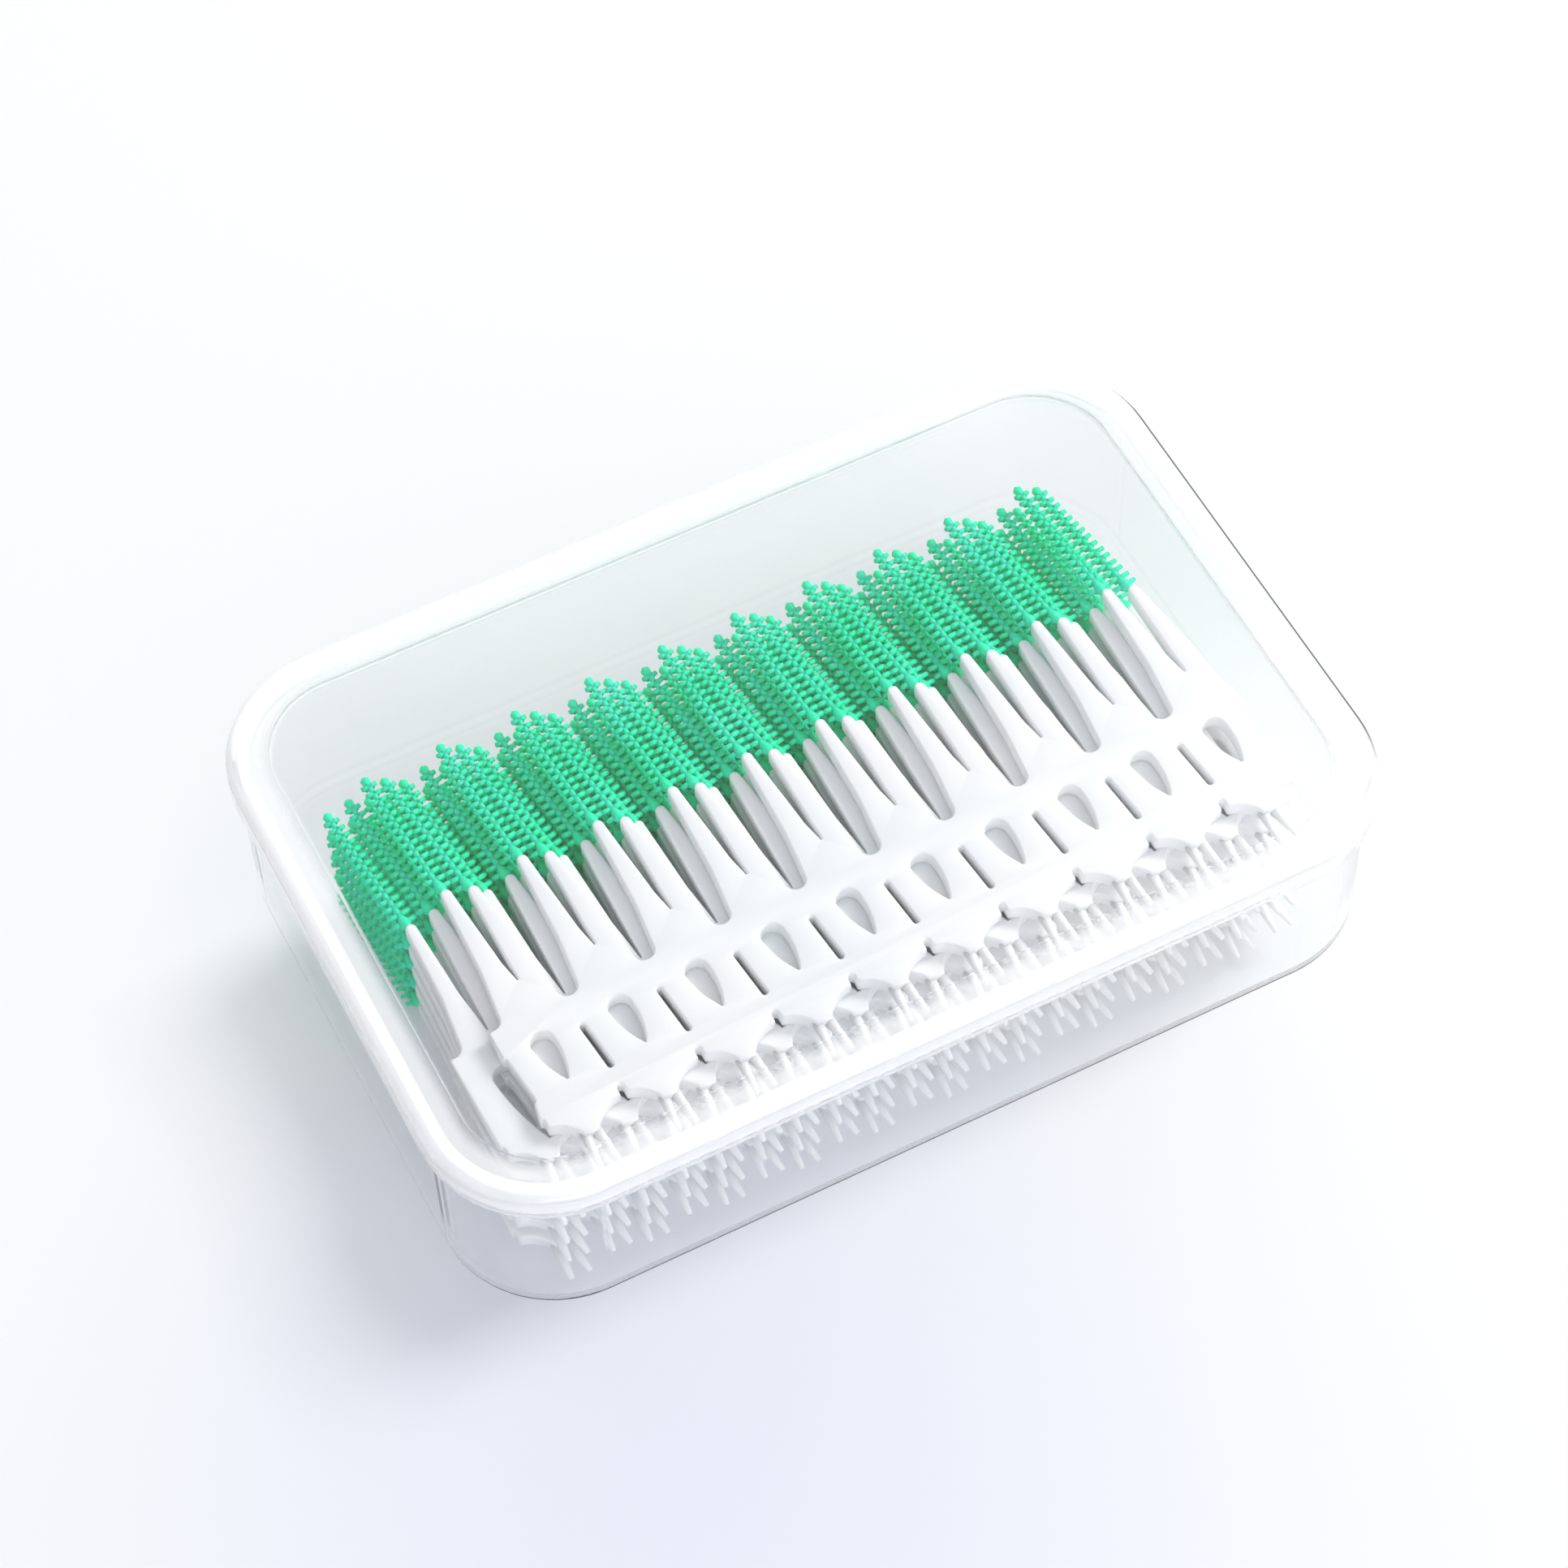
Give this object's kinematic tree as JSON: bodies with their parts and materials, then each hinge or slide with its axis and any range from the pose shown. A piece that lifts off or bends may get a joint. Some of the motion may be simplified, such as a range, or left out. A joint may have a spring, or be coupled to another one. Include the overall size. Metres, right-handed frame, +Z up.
{
  "type": "interdental brush set in case",
  "caption": "Clear push-fit case holding a loose stack of white moulded cards of double-ended picks, each with a soft green bristled head and a pointed pin.",
  "frame": {"origin": "centre of the case's flat underside", "axes": "+X along the case, +Y across it towards the brush heads, +Z up"},
  "size_m": [0.101, 0.0684, 0.0219],
  "materials": {
    "clear_base": "clear polypropylene, smooth, slightly milky",
    "clear_lid": "clear polystyrene, smooth",
    "pick_white": "white moulded polypropylene, satin",
    "brush_green": "soft green elastomer, satin"
  },
  "bodies": {
    "base": {"case_base": "clear_base"},
    "card_01": {"card_01": "pick_white", "brushes_01": "brush_green"},
    "card_02": {"card_02": "pick_white", "brushes_02": "brush_green"},
    "card_03": {"card_03": "pick_white", "brushes_03": "brush_green"},
    "card_04": {"card_04": "pick_white", "brushes_04": "brush_green"},
    "card_05": {"card_05": "pick_white", "brushes_05": "brush_green"},
    "card_06": {"card_06": "pick_white", "brushes_06": "brush_green"},
    "card_07": {"card_07": "pick_white", "brushes_07": "brush_green"},
    "card_08": {"card_08": "pick_white", "brushes_08": "brush_green"},
    "card_09": {"card_09": "pick_white", "brushes_09": "brush_green"},
    "card_10": {"card_10": "pick_white", "brushes_10": "brush_green"},
    "lid": {"case_lid": "clear_lid"}
  },
  "joints": [
    {"name": "card_01_lift", "type": "slide", "parent": "base", "child": "card_01", "axis": [0, 0, 1], "range_m": [0, 0.025]},
    {"name": "card_02_lift", "type": "slide", "parent": "card_01", "child": "card_02", "axis": [0, 0, 1], "range_m": [0, 0.025]},
    {"name": "card_03_lift", "type": "slide", "parent": "card_02", "child": "card_03", "axis": [0, 0, 1], "range_m": [0, 0.025]},
    {"name": "card_04_lift", "type": "slide", "parent": "card_03", "child": "card_04", "axis": [0, 0, 1], "range_m": [0, 0.025]},
    {"name": "card_05_lift", "type": "slide", "parent": "card_04", "child": "card_05", "axis": [0, 0, 1], "range_m": [0, 0.025]},
    {"name": "card_06_lift", "type": "slide", "parent": "card_05", "child": "card_06", "axis": [0, 0, 1], "range_m": [0, 0.025]},
    {"name": "card_07_lift", "type": "slide", "parent": "card_06", "child": "card_07", "axis": [0, 0, 1], "range_m": [0, 0.025]},
    {"name": "card_08_lift", "type": "slide", "parent": "card_07", "child": "card_08", "axis": [0, 0, 1], "range_m": [0, 0.025]},
    {"name": "card_09_lift", "type": "slide", "parent": "card_08", "child": "card_09", "axis": [0, 0, 1], "range_m": [0, 0.025]},
    {"name": "card_10_lift", "type": "slide", "parent": "card_09", "child": "card_10", "axis": [0, 0, 1], "range_m": [0, 0.025]},
    {"name": "lid_lift", "type": "slide", "parent": "card_10", "child": "lid", "axis": [0, 0, 1], "range_m": [0, 0.04]}
  ]
}
